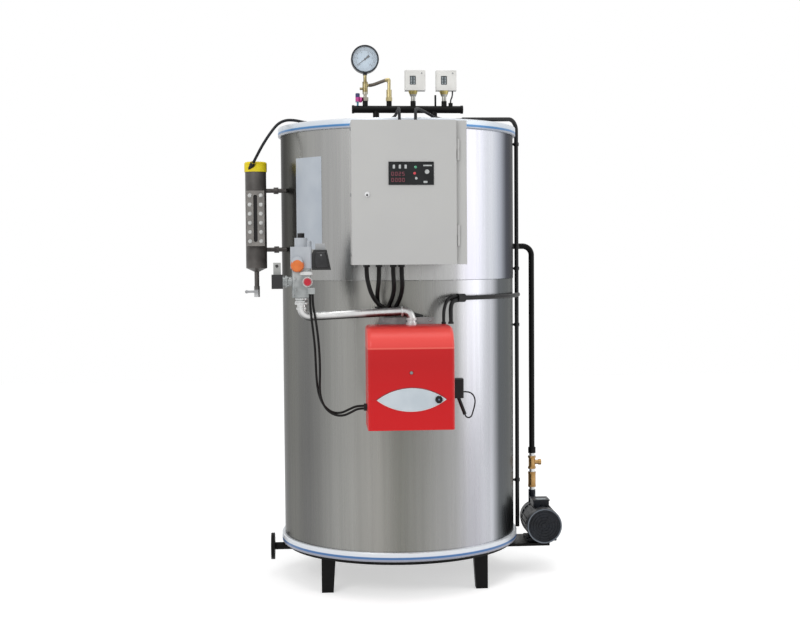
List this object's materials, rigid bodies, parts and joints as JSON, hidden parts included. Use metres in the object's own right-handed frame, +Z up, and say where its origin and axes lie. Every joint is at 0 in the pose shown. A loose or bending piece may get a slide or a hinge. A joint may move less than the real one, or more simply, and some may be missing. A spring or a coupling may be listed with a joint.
{
  "type": "industrial boiler",
  "caption": "Vertical gas-fired steam boiler with polished jacket, front burner, control cabinet, gauge header, level column and feed pump.",
  "frame": {"origin": "on the boiler's upright axis at floor level, centre of the four anchor holes", "axes": "+Z up, -Y towards the front with burner and control cabinet, +X to the feed pump's side"},
  "size_m": [1.352, 1.34, 2.248],
  "materials": {
    "actuator_case": "pale grey",
    "black_paint": "semi-gloss enamel",
    "black_plastic": "moulded",
    "brass": "turned",
    "burner_metal": "die cast",
    "burner_red": "gloss",
    "cabinet_paint": "fine textured powder coat",
    "cable_black": "sheathed cable",
    "cap_yellow": "yellow",
    "clear_glass": "clear",
    "column_paint": "dark grey",
    "cover_sheet": "plain sheet",
    "dial_face": "matt white print",
    "display_front": "gloss film",
    "galvanised": "zinc coated",
    "gauge_case": "black enamel",
    "label_plate": "plain",
    "lock_chrome": "plated",
    "plate_steel": "machined",
    "polished_jacket": "polished, fine upright grain",
    "pump_paint": "dark grey paint",
    "rolled_trim": "bright rolled sheet",
    "switch_case": "light grey",
    "valve_aluminium": "die cast"
  },
  "bodies": {
    "boiler": {"base_ring": "black_paint", "bleed_valve": "brass", "blowdown_pipe": "black_paint", "bottom_trim": "rolled_trim", "burner_base": "burner_metal", "burner_conduits": "black_plastic", "burner_cover": "burner_red", "burner_label": "label_plate", "burner_plug": "black_plastic", "cabinet_box": "cabinet_paint", "cabinet_cable_1": "cable_black", "cabinet_cable_2": "cable_black", "cabinet_cable_3": "cable_black", "cabinet_cable_4": "cable_black", "cabinet_rails": "cabinet_paint", "cable_glands": "black_plastic", "column_arms": "column_paint", "column_cable": "cable_black", "column_cap": "cap_yellow", "conduit_branch": "black_paint", "conduit_riser": "black_paint", "drain_cock": "galvanised", "feed_pipe": "black_paint", "feed_valves": "brass", "flue_collar": "cover_sheet", "gas_pipe": "galvanised", "gas_pressure_switch": "black_plastic", "gas_valve_actuator": "actuator_case", "gas_valve_body": "valve_aluminium", "gauge_cock": "brass", "gauge_dial": "dial_face", "gauge_glass": "clear_glass", "hand_hole": "black_paint", "header_cable": "cable_black", "instrument_header": "black_paint", "legs": "black_paint", "level_column": "column_paint", "level_glass": "clear_glass", "level_plate": "plate_steel", "lower_jacket": "polished_jacket", "pilot_solenoid": "black_plastic", "plug_wire": "cable_black", "pressure_gauge": "gauge_case", "pressure_switches": "switch_case", "pump_bracket": "black_paint", "pump_casing": "pump_paint", "pump_motor": "pump_paint", "siphon": "brass", "steam_outlet": "galvanised", "switch_fittings": "brass", "switch_lead": "cable_black", "top_cover": "cover_sheet", "top_trim": "rolled_trim", "upper_jacket": "polished_jacket", "valve_cable_1": "cable_black", "valve_cable_2": "cable_black"},
    "door": {"cabinet_door": "cabinet_paint", "display_panel": "display_front", "door_lock": "lock_chrome"},
    "drain_lever": {"drain_lever": "black_plastic"}
  },
  "joints": [
    {"name": "cabinet_door_hinge", "type": "hinge", "parent": "boiler", "child": "door", "pos_m": [0.185, -0.765, 0], "axis": [0, 0, 1], "range_deg": [0, 110]},
    {"name": "drain_cock_turn", "type": "hinge", "parent": "boiler", "child": "drain_lever", "pos_m": [-0.604, -0.168, 1.24], "axis": [0, -1, 0], "range_deg": [0, 90]}
  ]
}
